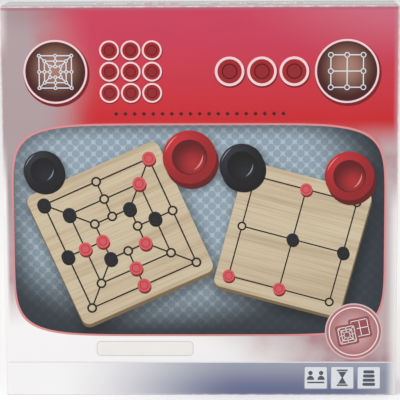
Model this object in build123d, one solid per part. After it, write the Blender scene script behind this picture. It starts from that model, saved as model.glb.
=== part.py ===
"""A nine mens morris box: a lift-off lid over a base, a formed tray, a wooden board and eighteen counters.

The box stands on its lower edge with the cover towards -Y and +Z up. The origin is the middle of the
closed box's footprint, on the surface that it stands on. All sizes are in millimetres.

Two local frames keep the parts simple. In each, x and y run across the box and z runs into it: the base's
frame starts on the box's back face, and the lid's frame starts on the cover.
"""

from build123d import *

import math
import os

# ---- Counters -------------------------------------------------------------------------------------------
men_per_player = 9
counter_diameter = 20.0
counter_thickness = 4.5
counter_rim_width = 2.7
counter_dish_depth = 1.3
counter_dish_slope = 1.0  # how much the dish narrows from its mouth to its floor, on the radius
counter_edge_radius = 0.7
counter_dish_radius = 0.4

# ---- Board and leaflet ----------------------------------------------------------------------------------
board_thickness = 5.0
board_corner_radius = 12.0
board_edge_radius = 0.8
leaflet_width = 148.0
leaflet_height = 210.0
leaflet_paper = 0.2
leaflet_spread = 0.2  # air between the two leaves of the folded sheet

# ---- Formed tray ----------------------------------------------------------------------------------------
tray_height = 46.2
tray_sheet = 0.6
tray_draft = 3.0  # degrees
tray_corner_radius = 8.0
tray_rim_width = 11.8  # from the board's recess to the foot of the skirt
board_ledge_width = 11.6  # what the board's edge lies on
board_clearance = 0.5
well_clearance = 0.3  # on the radius, and between a counter's face and the board
well_land = 2.8  # sheet left standing between two wells
trough_width = 24.0
trough_depth = 22.0
trough_corner_radius = 6.0
well_opening_depth = 3.5  # how far each well breaks into the trough
island_edge_width = 4.0
pan_corner_radius = 8.0
notch_width = 30.0
notch_reach = 6.0  # into the rim
notch_depth = 21.0
notch_corner_radius = 5.0

# ---- Greyboard box and its paper ------------------------------------------------------------------------
greyboard = 1.5
wrap_paper = 0.25
stay_paper = 0.15
stay_leg = 20.0
wrap_turn_in = 15.0
tray_side_clearance = 0.3
tray_to_lid_clearance = 0.3
lid_side_clearance = 0.6
lid_reveal = 3.0  # strip of the base that shows behind the lid's rim

size_step = 0.001  # lengths closer than this count as the same

# ---- Sizes that follow ----------------------------------------------------------------------------------
well_radius = counter_diameter / 2 + well_clearance
well_pitch = 2 * well_radius + well_land
row_length = (men_per_player - 1) * well_pitch + 2 * well_radius
recess_side = row_length + 2 * board_ledge_width
board_side = recess_side - 2 * board_clearance
leaflet_thickness = 2 * leaflet_paper + leaflet_spread
recess_depth = board_thickness + leaflet_thickness
well_depth = counter_thickness + well_clearance
row_offset = trough_width / 2 + well_radius - well_opening_depth
island_half = row_offset + well_radius + island_edge_width
tray_side = recess_side + 2 * tray_rim_width

side_build_up = greyboard + stay_paper + 2 * wrap_paper  # through one wall, turn-in to outer face
face_build_up = greyboard + wrap_paper  # through the cover or the back
base_inner_side = tray_side + 2 * tray_side_clearance
base_side = base_inner_side + 2 * side_build_up
lid_inner_side = base_side + 2 * lid_side_clearance
box_side = lid_inner_side + 2 * side_build_up
box_depth = tray_height + tray_to_lid_clearance + 2 * face_build_up
lid_depth = box_depth - lid_reveal
base_depth = box_depth - face_build_up  # its rim meets the inner face of the cover
box_centre_z = box_side / 2

base_frame = Plane(origin=(0, box_depth / 2, box_centre_z), x_dir=(1, 0, 0), z_dir=(0, -1, 0))
lid_frame = Plane(origin=(0, -box_depth / 2, box_centre_z), x_dir=(-1, 0, 0), z_dir=(0, 1, 0))
tray_frame = base_frame.offset(face_build_up)

recess_floor = tray_height - recess_depth
well_floor = recess_floor - well_depth


def block(x_range, y_range, z_range):
    """A box between three pairs of coordinates."""
    sizes = [high - low for low, high in (x_range, y_range, z_range)]
    centre = [(high + low) / 2 for low, high in (x_range, y_range, z_range)]
    return Pos(*centre) * Box(*sizes)


def both_ways(low, high):
    """The range from low to high, and its mirror image below zero."""
    return (low, high), (-high, -low)


# ---- Greyboard shells -----------------------------------------------------------------------------------
def greyboard_shell(outer_side, depth):
    """Five flat panels of a scored blank: the face, two walls of full length and two between them."""
    half = outer_side / 2
    inner = half - greyboard
    face_inside = wrap_paper + greyboard
    rim = depth - wrap_paper
    panels = [block((-half, half), (-half, half), (wrap_paper, face_inside))]
    for wall in both_ways(inner, half):
        panels.append(block((-half, half), wall, (face_inside, rim)))
        panels.append(block(wall, (-inner, inner), (face_inside, rim)))
    return panels


def corner_stays(shell_side, depth):
    """Four strips of paper, each folded round an outer corner of the shell and as tall as its wall."""
    half = shell_side / 2
    outside = half + stay_paper
    height = (wrap_paper, depth - wrap_paper)
    leg = block((half - stay_leg, outside), (half, outside), height)
    leg += block((half, outside), (half - stay_leg, half), height)
    return [Rot(0, 0, 90 * turn) * leg for turn in range(4)]


def wrap_sheet(outer_side, depth):
    """The printed sheet: its face, and four walls that fold over the rim and in against the greyboard."""
    half = outer_side / 2
    under_paper = half - wrap_paper
    shell_inside = half - side_build_up + wrap_paper
    turn_in_face = half - side_build_up
    rim = (depth - wrap_paper, depth)
    turned_in = (depth - wrap_paper - wrap_turn_in, depth - wrap_paper)
    wall_height = (wrap_paper, depth)

    panels = [block((-half, half), (-half, half), (0, wrap_paper))]
    outer_legs = both_ways(under_paper, half)
    rim_legs = both_ways(turn_in_face, under_paper)
    inner_legs = both_ways(turn_in_face, shell_inside)
    for outer_leg, rim_leg, inner_leg in zip(outer_legs, rim_legs, inner_legs):
        long_wall = block((-half, half), outer_leg, wall_height)
        long_wall += block((-under_paper, under_paper), rim_leg, rim)
        long_wall += block((-shell_inside, shell_inside), inner_leg, turned_in)
        short_wall = block(outer_leg, (-under_paper, under_paper), wall_height)
        short_wall += block(rim_leg, (-turn_in_face, turn_in_face), rim)
        short_wall += block(inner_leg, (-turn_in_face, turn_in_face), turned_in)
        panels += [long_wall, short_wall]
    return panels


# ---- Formed tray ----------------------------------------------------------------------------------------
def pocket(outline, mouth, depth):
    """A pocket that narrows downwards from its mouth with the tray's draft."""
    return extrude(Pos(0, 0, mouth) * outline, amount=depth, dir=(0, 0, -1), taper=tray_draft)


def tray_form(inset):
    """The tray's outer form, or with an inset of one sheet the space under it.

    The inset shrinks the block and grows every pocket, so that the two forms differ by the sheet.
    """
    grow = inset / math.cos(math.radians(tray_draft))
    top = tray_height - inset
    foot = RectangleRounded(tray_side - 2 * grow, tray_side - 2 * grow, tray_corner_radius - grow)
    form = extrude(foot, amount=top, taper=tray_draft)

    recess = RectangleRounded(
        recess_side + 2 * grow, recess_side + 2 * grow, board_corner_radius + board_clearance + grow
    )
    form -= extrude(Pos(0, 0, recess_floor - inset) * recess, amount=recess_depth + inset)

    pan_width = row_length / 2 - island_half
    pan = RectangleRounded(row_length + 2 * grow, pan_width + 2 * grow, pan_corner_radius + grow)
    notch_length = recess_side / 2 + notch_reach - island_half
    notch = RectangleRounded(notch_width + 2 * grow, notch_length + 2 * grow, notch_corner_radius + grow)
    for side in (-1, 1):
        pan_place = Pos(0, side * (island_half + pan_width / 2), 0)
        form -= pan_place * pocket(pan, recess_floor, recess_floor - tray_sheet + inset)
        notch_place = Pos(0, side * (island_half + notch_length / 2), 0)
        form -= notch_place * pocket(notch, tray_height, notch_depth + inset)

    trough = RectangleRounded(row_length + 2 * grow, trough_width + 2 * grow, trough_corner_radius + grow)
    form -= pocket(trough, recess_floor, trough_depth + inset)
    well = Circle(well_radius + inset)
    for x, y in well_centres(-1) + well_centres(1):
        form -= Pos(x, y, well_floor - inset) * extrude(well, amount=well_depth + inset)
    return form


def well_centres(side):
    """Where one player's nine wells lie, in the tray's frame: side is -1 or 1."""
    first = -(men_per_player - 1) / 2 * well_pitch
    return [(first + index * well_pitch, side * row_offset) for index in range(men_per_player)]


def counter_tray():
    """The formed sheet: its outer form less the space under it, open at the foot."""
    return tray_form(0.0) - tray_form(tray_sheet)


# ---- Contents -------------------------------------------------------------------------------------------
def morris_board():
    """A square board with rounded corners and softened edges."""
    outline = RectangleRounded(board_side, board_side, board_corner_radius)
    board = extrude(outline, amount=board_thickness)
    flat_edges = board.edges().group_by(Axis.Z)
    return fillet(flat_edges[0] + flat_edges[-1], board_edge_radius)


def rules_leaflet():
    """One sheet folded in half, with its fold on the left and its leaves slightly apart."""
    fold_radius = leaflet_thickness / 2
    fold_centre = Pos(-leaflet_width / 2 + fold_radius, fold_radius)
    leaf_width = leaflet_width - fold_radius
    leaves_centre = Pos(fold_radius / 2, fold_radius)
    folded = leaves_centre * Rectangle(leaf_width, leaflet_thickness) + fold_centre * Circle(fold_radius)
    folded -= leaves_centre * Rectangle(leaf_width, leaflet_spread) + fold_centre * Circle(leaflet_spread / 2)
    section = Plane(origin=(0, leaflet_height / 2, 0), x_dir=(1, 0, 0), z_dir=(0, -1, 0))
    return extrude(section * folded, amount=leaflet_height, dir=(0, -1, 0))


def counter():
    """A thick disc with a round dish in each face, standing on its lower rim."""
    mouth_radius = counter_diameter / 2 - counter_rim_width
    floor_radius = mouth_radius - counter_dish_slope
    dish_centre = counter_thickness / 2 - counter_dish_depth / 2
    disc = Cylinder(counter_diameter / 2, counter_thickness)
    disc -= Pos(0, 0, dish_centre) * Cone(floor_radius, mouth_radius, counter_dish_depth)
    disc -= Pos(0, 0, -dish_centre) * Cone(mouth_radius, floor_radius, counter_dish_depth)
    disc = fillet(circles_within(disc, mouth_radius, counter_diameter / 2), counter_edge_radius)
    disc = fillet(circles_within(disc, 0, mouth_radius), counter_dish_radius)
    return Pos(0, 0, counter_thickness / 2) * disc


def circles_within(shape, low, high):
    """The shape's round edges of a radius over low and up to high."""
    circles = shape.edges().filter_by(GeomType.CIRCLE)
    return circles.filter_by(lambda edge: low + size_step < edge.radius <= high + size_step)


# ---- Assembly -------------------------------------------------------------------------------------------
def placed(frame, shapes):
    """The shapes moved from a local frame into the box's own."""
    return [shape.moved(frame.location) for shape in shapes]


def save(node, shapes):
    """Writes one node: a single solid, or a group of solids."""
    solids = [solid for shape in shapes for solid in shape.solids()]
    part = solids[0] if len(solids) == 1 else Compound(children=solids)
    part.label = node
    export_step(part, f"parts/{node}.step")


def build():
    """Models every piece where it lies in the closed box."""
    nodes = {}
    paper_outside = 2 * (stay_paper + wrap_paper)
    nodes["lid_shell"] = placed(lid_frame, greyboard_shell(box_side - paper_outside, lid_depth))
    nodes["lid_corner_stays"] = placed(lid_frame, corner_stays(box_side - paper_outside, lid_depth))
    nodes["lid_wrap"] = placed(lid_frame, wrap_sheet(box_side, lid_depth))
    nodes["base_shell"] = placed(base_frame, greyboard_shell(base_side - paper_outside, base_depth))
    nodes["base_corner_stays"] = placed(base_frame, corner_stays(base_side - paper_outside, base_depth))
    nodes["base_wrap"] = placed(base_frame, wrap_sheet(base_side, base_depth))

    nodes["counter_tray"] = placed(tray_frame, [counter_tray()])
    nodes["morris_board"] = placed(tray_frame.offset(recess_floor), [morris_board()])
    nodes["rules_leaflet"] = placed(tray_frame.offset(recess_floor + board_thickness), [rules_leaflet()])

    man = counter()
    well_frame = tray_frame.offset(well_floor)
    for colour, side in (("red", 1), ("black", -1)):
        for number, (x, y) in enumerate(well_centres(side), start=1):
            nodes[f"{colour}_counter_{number}"] = placed(well_frame, [Pos(x, y, 0) * man])
    return nodes


os.makedirs("parts", exist_ok=True)
for name, solids in build().items():
    save(name, solids)
print(f"closed box: {box_side:.2f} x {box_depth:.2f} x {box_side:.2f} mm, board {board_side:.2f} mm")
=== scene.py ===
"""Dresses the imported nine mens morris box: printed wraps, tray, board, leaflet, counters, and a plain studio.

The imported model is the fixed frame, in metres: X runs across the cover, Y from the cover to the back, and Z
up from the surface that the box stands on. Flat printed shapes are drawn in millimetres on the face that
they belong to, and are scaled once, when they are placed.
"""

import logging
import math
from contextlib import contextmanager
from dataclasses import dataclass, field
from enum import Enum
from typing import Callable, Iterator, NamedTuple, Sequence

import bmesh
import bpy
from mathutils import Matrix, Vector

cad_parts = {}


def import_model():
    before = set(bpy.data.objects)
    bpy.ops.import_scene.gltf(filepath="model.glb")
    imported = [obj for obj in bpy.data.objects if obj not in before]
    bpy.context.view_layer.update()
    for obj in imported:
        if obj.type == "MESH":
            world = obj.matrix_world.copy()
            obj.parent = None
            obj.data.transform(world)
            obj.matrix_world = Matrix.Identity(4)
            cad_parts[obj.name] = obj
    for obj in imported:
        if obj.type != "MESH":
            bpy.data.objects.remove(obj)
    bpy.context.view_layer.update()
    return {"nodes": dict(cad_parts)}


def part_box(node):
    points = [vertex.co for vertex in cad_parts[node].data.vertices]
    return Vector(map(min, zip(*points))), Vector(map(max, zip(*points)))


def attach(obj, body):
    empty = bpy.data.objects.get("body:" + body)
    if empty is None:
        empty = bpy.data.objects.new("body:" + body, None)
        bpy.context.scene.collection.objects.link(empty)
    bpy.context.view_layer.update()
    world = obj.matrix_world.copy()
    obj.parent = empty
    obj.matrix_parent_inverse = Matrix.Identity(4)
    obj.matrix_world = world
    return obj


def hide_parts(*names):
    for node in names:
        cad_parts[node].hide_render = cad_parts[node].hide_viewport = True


LOG = logging.getLogger("morris_box")
MM = 0.001
SAME = 1e-6  # points closer than this, in metres, lie in one plane

Tone = tuple[int, int, int]
Point = tuple[float, float]
Triple = tuple[float, float, float]
Piece = bpy.types.Object
Material = bpy.types.Material
Socket = bpy.types.NodeSocket


# ---- Colour and shader building -------------------------------------------------------------------------
def linear(tone: Tone, light: float = 1.0) -> tuple[float, float, float, float]:
    """Turns a screen colour into the linear colour that a shader takes.

    Args:
        tone: red, green and blue from 0 to 255.
        light: a factor on the linear colour.

    Returns:
        Linear red, green, blue and an alpha of 1.
    """
    shares = [value / 255 for value in tone]
    red, green, blue = ((share / 12.92 if share <= 0.04045 else ((share + 0.055) / 1.055) ** 2.4) * light
                        for share in shares)
    return red, green, blue, 1.0


class Shader:
    """The node tree of one material or world, built node by node."""

    def __init__(self, owner: str | bpy.types.World) -> None:
        """Starts an empty tree.

        Args:
            owner: a new material's name, or a world.
        """
        self.owner = bpy.data.materials.new(owner) if isinstance(owner, str) else owner
        self.owner.use_nodes = True
        self.tree = self.owner.node_tree
        self.tree.nodes.clear()

    def node(self, kind: str, inputs: dict | None = None, **settings: object) -> bpy.types.Node:
        """Adds a node.

        Args:
            kind: the node's type, without its ShaderNode prefix.
            inputs: values, tones or sockets, by input name or number.
            **settings: the node's own properties.

        Returns:
            The new node.
        """
        made = self.tree.nodes.new("ShaderNode" + kind)
        for key, value in settings.items():
            setattr(made, key, value)
        for key, value in (inputs or {}).items():
            taken = made.inputs[key]
            if isinstance(value, Socket):
                self.tree.links.new(value, taken)
            else:
                is_tone = taken.type == "RGBA" and len(value) == 3
                taken.default_value = linear(value) if is_tone else value
        return made

    def place(self, offset: Sequence[float] = (0, 0, 0), turn: float = 0.0,
              stretch: Sequence[float] = (1, 1, 1)) -> Socket:
        """Object coordinates, moved, turned about Y and stretched.

        Args:
            offset: the point that becomes the pattern's origin, in metres.
            turn: the pattern's turn on the cover, in degrees.
            stretch: a factor for each axis.

        Returns:
            The vector socket.
        """
        coords = self.node("TexCoord").outputs["Object"]
        moved = self.node("Mapping", {"Vector": coords, "Location": [-value for value in offset]})
        turned = self.node("Mapping", {"Vector": moved.outputs[0], "Rotation": (0, math.radians(turn), 0)})
        return self.node("Mapping", {"Vector": turned.outputs[0], "Scale": stretch}).outputs[0]

    def apart(self, vector: Socket | None = None) -> tuple[Socket, Socket, Socket]:
        """X, Y and Z of a vector, or of the object coordinates."""
        vector = vector or self.node("TexCoord").outputs["Object"]
        return tuple(self.node("SeparateXYZ", {0: vector}).outputs)

    def vector(self, operation: str, first: Socket, second: Socket | Sequence[float] = (0, 0, 0)) -> Socket:
        """A sum on one or two vectors, by the Vector Math node's operation name."""
        return self.node("VectorMath", {0: first, 1: second}, operation=operation).outputs[0]

    def length(self, vector: Socket) -> Socket:
        """A vector's length."""
        return self.node("VectorMath", {0: vector}, operation="LENGTH").outputs["Value"]

    def math(self, operation: str, first: float | Socket, second: float | Socket = 0.0,
             clamp: bool = False) -> Socket:
        """A sum on one or two values, by the Math node's operation name."""
        return self.node("Math", {0: first, 1: second}, operation=operation, use_clamp=clamp).outputs[0]

    def product(self, first: Socket, *others: float | Socket) -> Socket:
        """The product of two or more values."""
        for other in others:
            first = self.math("MULTIPLY", first, other)
        return first

    def weigh(self, first: Socket, second: Socket, share: float) -> Socket:
        """The first value by its share, and the second by the rest."""
        return self.math("ADD", self.product(first, share), self.product(second, 1 - share))

    def away(self, value: Socket, middle: float = 0.0) -> Socket:
        """How far a value is from a middle."""
        return self.math("ABSOLUTE", self.math("SUBTRACT", value, middle))

    def between(self, value: Socket, low: float, high: float, start: float = 0.0, end: float = 1.0) -> Socket:
        """Maps value smoothly from the range low..high to start..end."""
        ranged = {"Value": value, "From Min": low, "From Max": high, "To Min": start, "To Max": end}
        return self.node("MapRange", ranged, interpolation_type="SMOOTHSTEP").outputs[0]

    def noise(self, scale: float, detail: float = 2.0, roughness: float = 0.5, vector: Socket | None = None,
              **placing: object) -> Socket:
        """A noise of that scale, from 0 to 1, on a vector or on coordinates that place gives."""
        inputs = {"Vector": vector or self.place(**placing), "Scale": scale, "Detail": detail,
                  "Roughness": roughness}
        return self.node("TexNoise", inputs).outputs["Fac"]

    def mix(self, share: float | Socket, first: Socket | Sequence[float], second: Socket | Sequence[float],
            mode: str = "MIX") -> Socket:
        """Mixes two colours, each a tone, a linear colour or a socket."""
        return self.node("Mix", {0: share, 6: first, 7: second}, data_type="RGBA", blend_type=mode,
                         clamp_factor=True).outputs[2]

    def bump(self, height: Socket, distance: float) -> Socket:
        """A normal from a height, in metres of full height."""
        return self.node("Bump", {"Height": height, "Distance": distance, "Strength": 1.0}).outputs[0]

    def finish(self, **sockets: object) -> Material:
        """Ends the tree in a Principled shader, whose inputs are given with underscores for spaces."""
        inputs = {key.replace("_", " "): value for key, value in sockets.items()}
        self.node("OutputMaterial", {"Surface": self.node("BsdfPrincipled", inputs).outputs[0]})
        return self.owner


class Fade(NamedTuple):
    """A smooth run of a share: start up to low, and end from high on."""

    low: float
    high: float
    start: float = 0.0
    end: float = 1.0


class Patch(NamedTuple):
    """An oval patch on a face: its middle and reach in metres, and how its share runs outwards."""

    x: float
    z: float
    wide: float
    tall: float
    fade: Fade

    def share(self, shader: Shader, drift: Socket | None = None) -> Socket:
        """How strong the patch is, with a wandering outline if drift is given."""
        out = shader.length(shader.place((self.x, 0, self.z), 0, (1 / self.wide, 0, 1 / self.tall)))
        return shader.between(shader.math("ADD", out, drift) if drift else out, *self.fade)


# ---- Finishes -------------------------------------------------------------------------------------------
@dataclass(frozen=True)
class Topcoat:
    """What lies over a printed colour: a clear film, a varnish or nothing."""

    roughness: float = 0.42  # how dull the ink itself is
    weight: float = 0.78  # how much of the surface the film covers
    film_roughness: float = 0.1
    wave_scale: float = 26.0  # how many waves the film has to a metre
    wave_height: float = 0.0002  # in metres
    bare_gloss: float = 0.0  # the ink's own gloss, which a film over it takes away

    def seal(self, shader: Shader, colour: Socket, relief: Socket | None = None) -> Material:
        """Covers a printed colour.

        Args:
            shader: the ink's tree.
            colour: the printed colour.
            relief: a height that shows through, as a share of the wave's.

        Returns:
            The finished material.
        """
        wave = shader.noise(self.wave_scale, 1.0)
        if relief:
            wave = shader.math("ADD", wave, relief)
        normal = shader.bump(wave, self.wave_height)
        return shader.finish(Base_Color=colour, Roughness=self.roughness, Specular_IOR_Level=self.bare_gloss,
                             Coat_Weight=self.weight, Coat_Roughness=self.film_roughness, Coat_IOR=1.46,
                             Normal=normal, Coat_Normal=normal)


LAMINATE = Topcoat()
VARNISH = Topcoat(0.5, 0.35, 0.25)
BARE_PAPER = Topcoat(0.7, 0.0, 0.5, 140.0, 0.00003, 0.2)


@dataclass(frozen=True)
class Ink:
    """One printed colour, with the faint cloudiness of offset print."""

    name: str
    tone: Tone
    topcoat: Topcoat = LAMINATE
    dark: float = 0.92  # the darkest spots of the cloudiness, as a share

    def colour(self, shader: Shader) -> Socket:
        """The printed colour before the film."""
        return shader.mix(shader.noise(60.0, 4.0), linear(self.tone, self.dark), self.tone)

    def relief(self, shader: Shader) -> Socket | None:
        """What shows through the film from below: nothing on a plain ink."""
        return None

    def material(self) -> Material:
        """The ink as a material under its topcoat, made once.

        Returns:
            The material.
        """
        found = bpy.data.materials.get(self.name)
        if found:
            return found
        shader = Shader(self.name)
        return self.topcoat.seal(shader, self.colour(shader), self.relief(shader))


@dataclass(frozen=True)
class GlowInk(Ink):
    """An ink that runs from a middle tone to the outer one, round a centre."""

    middle: Tone = (255, 255, 255)
    centre: Triple = (0, 0, 0)
    reach: float = 0.02  # where the outer tone is full, in metres
    start: float = 0.0  # where the middle tone ends

    def colour(self, shader: Shader) -> Socket:
        """The glow over the cloudy tone."""
        share = shader.between(shader.length(shader.place(self.centre)), self.start, self.reach)
        return shader.mix(share, self.middle, super().colour(shader))


@dataclass(frozen=True)
class FieldInk(Ink):
    """The wrap's ground: red above, painted mauve haze at the upper left, painted rose haze and then painted
    white glare below, and a blue foot. It also carries a painted sheen, painted haze along the right edge,
    painted shade under the upper fold and a painted reflection on the top wall.

    Every length is in metres, and a height is measured from the surface that the box stands on.
    """

    lower: Tone = (196, 34, 42)  # the red below the cover's heading
    mauve_haze: Tone = (158, 142, 146)  # painted haze of glare at the upper left
    rose: Tone = (190, 172, 175)  # painted haze beside and below the panel
    blush: Tone = (168, 108, 114)  # redder patches in the mauve and the rose
    pale: Tone = (244, 243, 243)  # painted glare: the white corner
    sheen: Tone = (206, 132, 152)  # painted sheen: the pinker upper right
    edge: Tone = (184, 130, 142)  # painted haze along the red's right edge
    # painted reflection: the top wall's grey stands in for the white that its gloss reflects
    top_wall: Tone = (124, 118, 122)
    fold_shade: Tone = (158, 96, 112)  # painted shade: the dulled red just below the upper fold
    bare: Tone = (250, 228, 230)  # the paper where a fold has lost its ink
    band: Tone = (108, 116, 149)
    haze: Tone = (156, 160, 176)  # the band's paler upper edge and right end
    band_haze: float = 0.004  # where the band starts to pale upwards
    band_top: float = 0.0226
    red_run: Fade = Fade(0.185, 0.262)  # from the lower red to the ink's own
    # where the painted rose haze starts below
    rose_run: Fade = Fade(0.166, 0.19, 1.0, 0.0)
    # where the painted sheen lies
    sheen_patch: Patch = Patch(0.14, 0.275, 0.13, 0.055, Fade(0.12, 0.98, 0.48, 0.0))
    # where the painted mauve haze lies
    mauve_patch: Patch | None = Patch(-0.150, 0.205, 0.078, 0.125, Fade(0.66, 1.26, 0.96, 0.0))
    # where the painted glare whitens the lower left
    pale_patch: Patch = Patch(-0.085, -0.012, 0.2, 0.09, Fade(0.78, 1.22, 1.0, 0.0))
    # where the painted haze along the right edge runs
    edge_run: Fade = Fade(0.1282, 0.1318, 0.0, 0.72)
    band_end: Fade = Fade(0.096, 0.13, 0.0, 0.75)  # where the band's right end pales
    band_start: Fade = Fade(-0.1, 0.03)  # where the band comes out of the white
    middle: float = 0.1325  # the box's middle height
    half: float = 0.1325  # half the printed sheet's side
    face: float = -0.025  # where the printed face lies along Y
    face_depth: float = 0.0016  # how far the face's own print reaches round its folds
    fold: float = 0.0014  # how far a worn fold shows
    # how far below the upper fold the painted shade reaches
    crease_reach: float = 0.0036
    flap: float = 0.014  # how far a wall's flap reaches under the next wall's sheet

    def colour(self, shader: Shader) -> Socket:
        """The ground with its painted haze, glare, sheen, shade and reflection, its band and its worn folds.

        Args:
            shader: the ink's tree.

        Returns:
            The colour before the film.
        """
        across, deep, up = shader.apart()
        on_face = self.near_face(shader, deep, self.face_depth)
        drift = shader.product(shader.noise(11.0), 0.3)
        patches = shader.product(shader.between(shader.noise(22.0, 4.0), 0.46, 0.72), on_face)
        # the painted mauve and rose haze, with redder patches
        mauve_haze, rose = (shader.mix(patches, tone, self.blush) for tone in (self.mauve_haze, self.rose))

        ground = shader.mix(shader.between(up, *self.red_run), self.lower, super().colour(shader))
        # painted sheen at the upper right
        for share, tone in ((self.sheen_patch.share(shader), self.sheen),
                            # painted haze along the right edge
                            (shader.between(across, *self.edge_run), self.edge),
                            # painted rose haze below the panel
                            (shader.between(up, *self.rose_run), rose)):
            ground = shader.mix(shader.product(share, on_face), ground, tone)
        # painted mauve haze at the upper left
        if self.mauve_patch:
            ground = shader.mix(self.mauve_patch.share(shader, drift), ground, mauve_haze)
        # painted glare that whitens the lower left
        ground = shader.mix(self.pale_patch.share(shader, drift), ground, self.pale)

        faded = shader.product(shader.between(across, *self.band_end), on_face)
        faded = shader.math("MAXIMUM", shader.between(up, self.band_haze, self.band_top), faded)
        blue = shader.mix(faded, self.band, self.haze)
        blue = shader.mix(shader.between(across, *self.band_start), self.pale, blue)
        printed = shader.mix(shader.math("LESS_THAN", up, self.band_top), ground, blue)
        # painted glare that pales the side edges
        edge_glare_share = shader.product(self.faded_edges(shader, across, up), on_face)
        printed = shader.mix(edge_glare_share, printed, self.pale)
        top = self.middle + self.half
        # painted shade just below the upper fold
        fold_shaded = shader.between(up, top - self.crease_reach, top - self.fold, 0.0, 0.7)
        printed = shader.mix(shader.product(fold_shaded, on_face), printed, self.fold_shade)
        # the top wall's painted reflection
        printed = shader.mix(shader.between(up, top - 0.3 * self.fold, top), printed, self.top_wall)
        return shader.mix(self.wear(shader, across, deep, up), printed, self.bare)

    def near_face(self, shader: Shader, deep: Socket, reach: float) -> Socket:
        """1 on the printed face, falling to 0 a reach behind it."""
        facing = shader.product(deep, math.copysign(1.0, self.face))
        return shader.between(facing, abs(self.face) - reach, abs(self.face))

    def faded_edges(self, shader: Shader, across: Socket, up: Socket) -> Socket:
        """How much painted glare pales the cover's side edges: a little at the upper left, and most below the
        middle.

        Args:
            shader: the ink's tree.
            across: the X coordinate.
            up: the Z coordinate.

        Returns:
            The share of painted glare.
        """
        faded = 0.0
        for side, height in ((Fade(-self.half, -0.126, 0.4, 0.0), Fade(0.228, 0.25)),
                             (Fade(-0.1318, -0.1283, 1.0, 0.0), Fade(0.135, 0.18, 1.0, 0.0)),
                             (Fade(0.1245, 0.132, 0.0, 0.82), Fade(0.12, 0.155, 1.0, 0.0))):
            share = shader.product(shader.between(across, *side), shader.between(up, *height))
            faded = shader.math("MAXIMUM", share, faded)
        return faded

    def wear(self, shader: Shader, across: Socket, deep: Socket, up: Socket) -> Socket:
        """How bare the paper is: most where two faces meet, in broken patches.

        Args:
            shader: the ink's tree.
            across: the X coordinate.
            deep: the Y coordinate.
            up: the Z coordinate.

        Returns:
            The share of bare paper.
        """
        side, height = (shader.between(shader.away(*axis), self.half - self.fold, self.half)
                        for axis in ((across, 0.0), (up, self.middle)))
        front = self.near_face(shader, deep, self.fold)
        folds = [shader.product(*pair) for pair in ((side, height), (side, front), (height, front))]
        joined = shader.math("ADD", shader.math("ADD", folds[0], folds[1]), folds[2], clamp=True)
        patches = shader.between(shader.noise(160.0, 6.0, 0.65), 0.38, 0.68)
        return shader.product(joined, shader.math("ADD", shader.product(patches, 0.5), 0.5))

    def relief(self, shader: Shader) -> Socket:
        """The step over the flaps that are folded in under the side walls.

        Args:
            shader: the ink's tree.

        Returns:
            The step's height.
        """
        across, _, up = shader.apart()
        on_side = shader.math("GREATER_THAN", shader.away(across), self.half - 0.0002)
        start = self.half - self.flap
        over_flap = shader.between(shader.away(up, self.middle), start - 0.0005, start)
        return shader.product(on_side, over_flap, 0.7)


@dataclass(frozen=True)
class Shadow:
    """The soft shadow of something square or round over a printed ground, in millimetres."""

    x: float
    y: float
    turn: float  # counter-clockwise, in degrees
    half: float  # half the square core's side, which is 0 for a round one
    corner: float  # the corner's or the disc's radius
    blur: float  # how far it fades
    depth: float  # how dark it is

    def light(self, shader: Shader) -> Socket:
        """How much light is left round it, from 1 down to 1 less its depth.

        Args:
            shader: the tree of the ground's ink.

        Returns:
            The share of light.
        """
        local = shader.place((self.x * MM, 0, self.y * MM), self.turn, (1 / MM, 0, 1 / MM))
        across, _, up = shader.apart(local)
        beyond = {index: shader.math("MAXIMUM", shader.math("SUBTRACT", shader.away(axis), self.half), 0.0)
                  for index, axis in enumerate((across, up))}
        length = shader.length(shader.node("CombineXYZ", beyond).outputs[0])
        start, end = self.corner - 0.3 * self.blur, self.corner + self.blur
        return shader.between(length, start, end, 1 - self.depth, 1.0)


@dataclass(frozen=True)
class DottedInk(Ink):
    """A grey-blue ground of close-set discs, light in the middle and dark towards its rim."""

    gap: Tone = (168, 184, 194)  # between the discs
    rim: Tone = (36, 44, 52)  # far from the centre
    pitch: float = 0.0056  # the discs' spacing, in metres
    disc_edge: Fade = Fade(0.42, 0.53)  # where a disc ends, as a share of the pitch
    centre: Triple = (-0.026, 0, 0.146)  # where the ground is lightest
    squeeze: float = 1.45  # how much faster it darkens up and down than across
    far_run: Fade = Fade(0.098, 0.152, 0.0, 0.95)  # how it darkens away from there, in metres
    rim_run: Fade = Fade(0.3, 1.05, 0.0, 0.6)  # how it darkens towards the panel's outline, which is at 1
    middle: Triple = (0, 0, 0)  # the panel's middle
    half: Point = (0.1, 0.1)  # half the panel's width and height
    power: float = 2.0  # how square the panel's outline is
    shadows: tuple[Shadow, ...] = ()

    def colour(self, shader: Shader) -> Socket:
        """The lattice of discs, the dark rim and the shadows.

        Args:
            shader: the ink's tree.

        Returns:
            The colour before the film.
        """
        cells = shader.vector("FRACTION", shader.place(turn=45, stretch=(1 / self.pitch,) * 3))
        flat = shader.vector("MULTIPLY", shader.vector("SUBTRACT", cells, (0.5, 0.5, 0.5)), (1, 0, 1))
        ground = shader.mix(shader.between(shader.length(flat), *self.disc_edge), super().colour(shader),
                            self.gap)
        away = shader.length(shader.place(self.centre, 0, (1, 0, self.squeeze)))
        ground = shader.mix(shader.between(away, *self.far_run), ground, self.rim)
        across, _, up = shader.apart(shader.place(self.middle, 0, (1 / self.half[0], 0, 1 / self.half[1])))
        near = [shader.math("POWER", shader.math("ABSOLUTE", axis), self.power) for axis in (across, up)]
        ground = shader.mix(shader.between(shader.math("ADD", *near), *self.rim_run), ground, self.rim)
        for shadow in self.shadows:
            light = shadow.light(shader)
            grey = shader.node("CombineColor", {0: light, 1: light, 2: light}).outputs[0]
            ground = shader.mix(1.0, ground, grey, "MULTIPLY")
        return ground


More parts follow.
